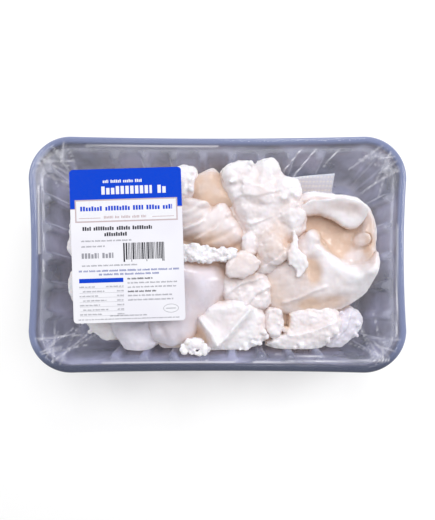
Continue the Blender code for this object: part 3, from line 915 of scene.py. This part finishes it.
# Painted sheen of each film point: how close it lies to a crease, scaled by that crease's white amount.
painted_sheen_mark = np.zeros(len(film_points))
for line, width, height, white in creases:
    away, _ = line_distance(film_points, line)
    film_points[:, 2] += height * np.exp(-(away / width) ** 2) * inside
    painted_sheen_mark += white * np.exp(-(away / (0.6 * width)) ** 2)
under_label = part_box("label")[0][2] / MM - 0.1
film_points[:, 2] = np.clip(film_points[:, 2], FILM_SEAL - 0.02, under_label)
verts = [work.verts.new(point * MM) for point in film_points]
for i in range(count_x):
    for j in range(count_y):
        a = i * (count_y + 1) + j
        b = a + count_y + 1
        work.faces.new((verts[a], verts[b], verts[b + 1], verts[a + 1]))
film = piece_from(work, "lidding_film")
mark = film.data.attributes.new("crease", "FLOAT", "POINT")
mark.data.foreach_set("value", np.clip(painted_sheen_mark, 0, LONG_PAINTED_SHEEN).astype(np.float32))
pick(film)
reshape(film, "thickness", "SOLIDIFY", thickness=FILM_THICK * MM, offset=-1.0)
bpy.ops.object.shade_smooth()

film_clear, nodes, links, shader = plain_material("clear_film", (0.9, 0.9, 0.97), 0.15)
output = nodes["Material Output"]
see_through = nodes.new("ShaderNodeBsdfTransparent")
see_through.inputs["Color"].default_value = (0.97, 0.97, 0.98, 1.0)
shine = nodes.new("ShaderNodeBsdfGlossy")
shine.inputs["Roughness"].default_value = 0.09
glance = nodes.new("ShaderNodeFresnel")
glance.inputs["IOR"].default_value = 1.45
clear = nodes.new("ShaderNodeMixShader")
links.new(see_through.outputs["BSDF"], clear.inputs[1])
links.new(shine.outputs["BSDF"], clear.inputs[2])
# Painted highlight: along the creases the film is mixed toward a white diffuse shader by the crease
# attribute, so they show as bright streaks whatever light reaches them.
painted_sheen_attribute = nodes.new("ShaderNodeAttribute")
painted_sheen_attribute.attribute_name = "crease"
painted_sheen_share = math_node(nodes, links, "MULTIPLY", painted_sheen_attribute.outputs["Fac"], 0.17)
rays = nodes.new("ShaderNodeLightPath")
seen = math_node(nodes, links, "MULTIPLY", rays.outputs["Is Camera Ray"], glance.outputs["Fac"])
sides = nodes.new("ShaderNodeNewGeometry")
outer_side = math_node(nodes, links, "SUBTRACT", 1.0, sides.outputs["Backfacing"])
links.new(math_node(nodes, links, "MULTIPLY", seen, outer_side), clear.inputs["Fac"])
whole = nodes.new("ShaderNodeMixShader")
links.new(painted_sheen_share, whole.inputs["Fac"])
links.new(clear.outputs["Shader"], whole.inputs[1])
links.new(shader.outputs["BSDF"], whole.inputs[2])
links.new(whole.outputs["Shader"], output.inputs["Surface"])
film.data.materials.append(film_clear)
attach(film, "root")
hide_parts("film")


# ---- Label ------------------------------------------------------------------------------
# Self-adhesive coated paper on the film: a blue header with a framed white panel, and rows
# of small print, a bar code and a table below, all kept as plain bars with no lettering.

LABEL_X = 67.0
LABEL_Y = 92.0
LABEL_ROUND = 2.2
LABEL_CENTRE = Vector((-54.0, 5.2))
LABEL_TURN = math.radians(1.8)
label_low, label_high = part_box("label")
PAPER_TOP = label_high[2] / MM - 0.08
PRINT_LIFT = 0.012


def on_label(x, y, z):
    """A point given in millimetres from the label's left and top edges, placed on the pack."""
    flat = Matrix.Rotation(LABEL_TURN, 2) @ Vector((x - LABEL_X / 2, LABEL_Y / 2 - y)) + LABEL_CENTRE
    return flat.x * MM, flat.y * MM, z * MM


def rounded(x0, y0, x1, y1, radius):
    """Corner points of a rounded box on the label, clockwise from its top left."""
    found = []
    for cx, cy, first in ((x0 + radius, y0 + radius, 180), (x1 - radius, y0 + radius, 270),
                          (x1 - radius, y1 - radius, 0), (x0 + radius, y1 - radius, 90)):
        for step in range(7):
            angle = math.radians(first + 15 * step)
            found.append((cx + radius * math.cos(angle), cy + radius * math.sin(angle)))
    return found


def print_shape(work, outline, level, ink):
    """A flat printed shape; a higher level lies over a lower one."""
    top = PAPER_TOP + 0.02 + level * PRINT_LIFT
    face = work.faces.new([work.verts.new(on_label(x, y, top)) for x, y in outline])
    face.material_index = ink


def print_bar(work, x0, y0, x1, y1, level, ink):
    """A printed rectangle between two opposite corners."""
    print_shape(work, [(x0, y0), (x1, y0), (x1, y1), (x0, y1)], level, ink)


def print_words(work, x0, y0, x1, height, level, ink, seed, weight=1.0):
    """A row of small print: short bars of uneven length with gaps between them."""
    draw = random.Random(seed)
    x = x0
    while x < x1 - height * 0.5:
        width = min(draw.uniform(1.2, 4.0) * height * weight, x1 - x)
        left = x
        while left < x + width:
            top = y0 + height * draw.choice((0.0, 0.0, 0.2))
            right = min(left + height * 0.42, x + width)
            print_bar(work, left, top, right, y0 + height, level, ink)
            left += height * 0.6
        x += width + height * 0.7


work = bmesh.new()
edge = rounded(0, 0, LABEL_X, LABEL_Y, LABEL_ROUND)
under = [work.verts.new(on_label(x, y, label_low[2] / MM)) for x, y in edge]
over = [work.verts.new(on_label(x, y, PAPER_TOP)) for x, y in edge]
work.faces.new(under)
work.faces.new(over)
join_rings(work, (under, over))
label = piece_from(work, "label_paper")

BLUE, WHITE, BLACK, GREY, FRAME, PALE_BLUE = range(6)
work = bmesh.new()
header = [p for p in rounded(0, 0, LABEL_X, 48, LABEL_ROUND) if p[1] < 20] + [(LABEL_X, 23.5), (0, 23.5)]
print_shape(work, header, 0, BLUE)
for bar in ((0, 23.5, LABEL_X, 23.9, 0, FRAME), (2.8, 18.2, 64.2, 31.8, 1, FRAME),
            (3.6, 19.0, 63.4, 31.0, 2, WHITE), (5, 29.1, 18, 29.5, 3, FRAME),
            (49, 29.1, 62, 29.5, 3, FRAME), (4, 65.4, 30.5, 68.0, 1, BLUE),
            (55.6, 84.3, 61.4, 84.7, 3, GREY)):
    print_bar(work, *bar)
for words in ((20, 6.6, 44, 1.8, 1, WHITE, 51), (19, 10.5, 58, 4.8, 1, WHITE, 52, 1.6),
              (6, 22.2, 61, 2.8, 3, BLUE, 53, 1.6), (20, 28.2, 47, 1.5, 3, FRAME, 54),
              (7, 34.4, 49, 2.3, 1, BLACK, 55, 1.5), (20, 38.0, 36, 2.3, 1, BLACK, 56, 1.5),
              (6, 42.5, 36, 0.9, 1, GREY, 60), (6, 45.8, 20, 0.9, 1, GREY, 61),
              (6, 50.2, 25, 3.2, 1, GREY, 63, 1.3), (6, 57.3, 39, 0.9, 1, GREY, 65),
              (4, 60.4, 64, 1.1, 1, PALE_BLUE, 66, 1.3), (16, 62.6, 52, 1.1, 1, PALE_BLUE, 67, 1.3),
              (22, 87.6, 44, 0.8, 1, GREY, 98), (3, 89.6, 64, 0.7, 1, GREY, 99)):
    print_words(work, *words)
draw = random.Random(64)
x = 31.0
while x < 55.5:
    width = draw.choice((0.35, 0.35, 0.6, 0.9))
    print_bar(work, x, 44.6, x + width, 54.6 if draw.random() > 0.15 else 56.0, 1, BLACK)
    x += width + draw.choice((0.3, 0.45, 0.6))
for row in range(7):
    y = 70.0 + 2.75 * row
    print_words(work, 4 + (row % 2) * 2, y, 14 + (row * 5) % 9, 0.8, 1, GREY, 70 + row)
    print_words(work, 26.5 if row else 20, y, 30.5, 0.8, 1, GREY, 80 + row)
    print_bar(work, 4, y + 1.25, 30.5, y + 1.37, 1, GREY)
lines = ((48, BLACK), (63, GREY), (62, GREY), (50, BLACK), (60, GREY), (60, GREY))
for row, (end, ink) in enumerate(lines):
    print_words(work, 33, 65.6 + 2.55 * row, end, 1.0 if ink == BLACK else 0.9, 1, ink, 90 + row)
for radius_x, radius_y, ink, level in ((4.6, 2.6, GREY, 1), (4.35, 2.35, WHITE, 2)):
    around = [math.radians(degree) for degree in range(0, 360, 15)]
    oval = [(58.5 + radius_x * math.cos(a), 84.5 + radius_y * math.sin(a)) for a in around]
    print_shape(work, oval, level, ink)
bmesh.ops.recalc_face_normals(work, faces=work.faces)
for face in work.faces:
    if face.normal.z < 0:
        face.normal_flip()
mesh = bpy.data.meshes.new("label_print")
work.to_mesh(mesh)
work.free()
label_print = bpy.data.objects.new("label_print", mesh)
bpy.context.scene.collection.objects.link(label_print)

paper, nodes, links, shader = plain_material("coated_label_paper", (0.84, 0.84, 0.9), 0.4)
soft = object_noise(nodes, links, 25.0, 2.0)
tone = ramp(nodes, links, soft, ((0.3, (0.74, 0.73, 0.80)), (0.7, (0.80, 0.80, 0.84))))
links.new(tone, shader.inputs["Base Color"])
bump(nodes, links, object_noise(nodes, links, 60.0, 2.0), 0.1, 0.0005, shader)
label.data.materials.append(paper)
for name, color in (("blue_ink", (0.0, 0.05, 0.56)), ("white_ground", (0.78, 0.78, 0.83)),
                    ("black_ink", (0.02, 0.02, 0.03)), ("grey_ink", (0.30, 0.30, 0.34)),
                    ("frame_ink", (0.52, 0.42, 0.44)), ("pale_blue_ink", (0.16, 0.19, 0.42))):
    ink, nodes, links, shader = plain_material(name, color, 0.35)
    uneven = object_noise(nodes, links, 900.0, 2.0)
    worn = tuple(0.94 * c + 0.006 for c in color)
    shader.inputs["Specular IOR Level"].default_value = 0.1
    links.new(ramp(nodes, links, uneven, ((0.3, color), (0.75, worn))), shader.inputs["Base Color"])
    label_print.data.materials.append(ink)
for piece in (label, label_print):
    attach(piece, "root")
    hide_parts("label")


# ---- Studio -----------------------------------------------------------------------------
# Plain white floor, a white sky for fill, and large soft lamps low enough at the sides that
# flat film shows none of them and the creases do.

bpy.ops.object.select_all(action="DESELECT")
bpy.ops.mesh.primitive_plane_add(size=6.0, location=(0, 0, -0.0002))
floor = bpy.context.object
floor.name = "floor"
floor_paint, nodes, links, shader = plain_material("white_floor", (0.93, 0.93, 0.93), 0.9)
floor.data.materials.append(floor_paint)

scene = bpy.context.scene
sky = bpy.data.worlds.new("sky")
sky.use_nodes = True
sky.node_tree.nodes["Background"].inputs["Color"].default_value = (1.0, 1.0, 1.0, 1.0)
sky.node_tree.nodes["Background"].inputs["Strength"].default_value = 0.40
scene.world = sky
for name, place, size, power in (("left_lamp", (-0.75, 0.45, 0.85), 0.4, 2.8),
                                 ("back_lamp", (0.25, 1.0, 0.85), 0.4, 3.6),
                                 ("right_lamp", (0.9, 0.3, 0.7), 0.4, 3.6),
                                 ("overhead_lamp", (0.2, 0.35, 1.45), 1.2, 11.5)):
    light = bpy.data.lights.new(name, "AREA")
    light.size = size
    light.energy = power
    lamp = bpy.data.objects.new(name, light)
    scene.collection.objects.link(lamp)
    lamp.location = place
    lamp.visible_glossy = name != "overhead_lamp"
    lamp.rotation_euler = (-Vector(place)).to_track_quat("-Z", "Y").to_euler()

VIEW_HEIGHT = 0.255
VIEW_FORWARD = 0.035
camera_data = bpy.data.cameras.new("camera")
camera_data.sensor_width = 36.0
camera_data.lens = 29.22
camera_data.shift_y = 0.1005
camera = bpy.data.objects.new("camera", camera_data)
scene.collection.objects.link(camera)
camera.location = (0.0, -VIEW_FORWARD, tray_high[2] + VIEW_HEIGHT)
camera.rotation_euler = (0.0, 0.0, 0.0)
scene.camera = camera
scene.view_settings.view_transform = "Standard"
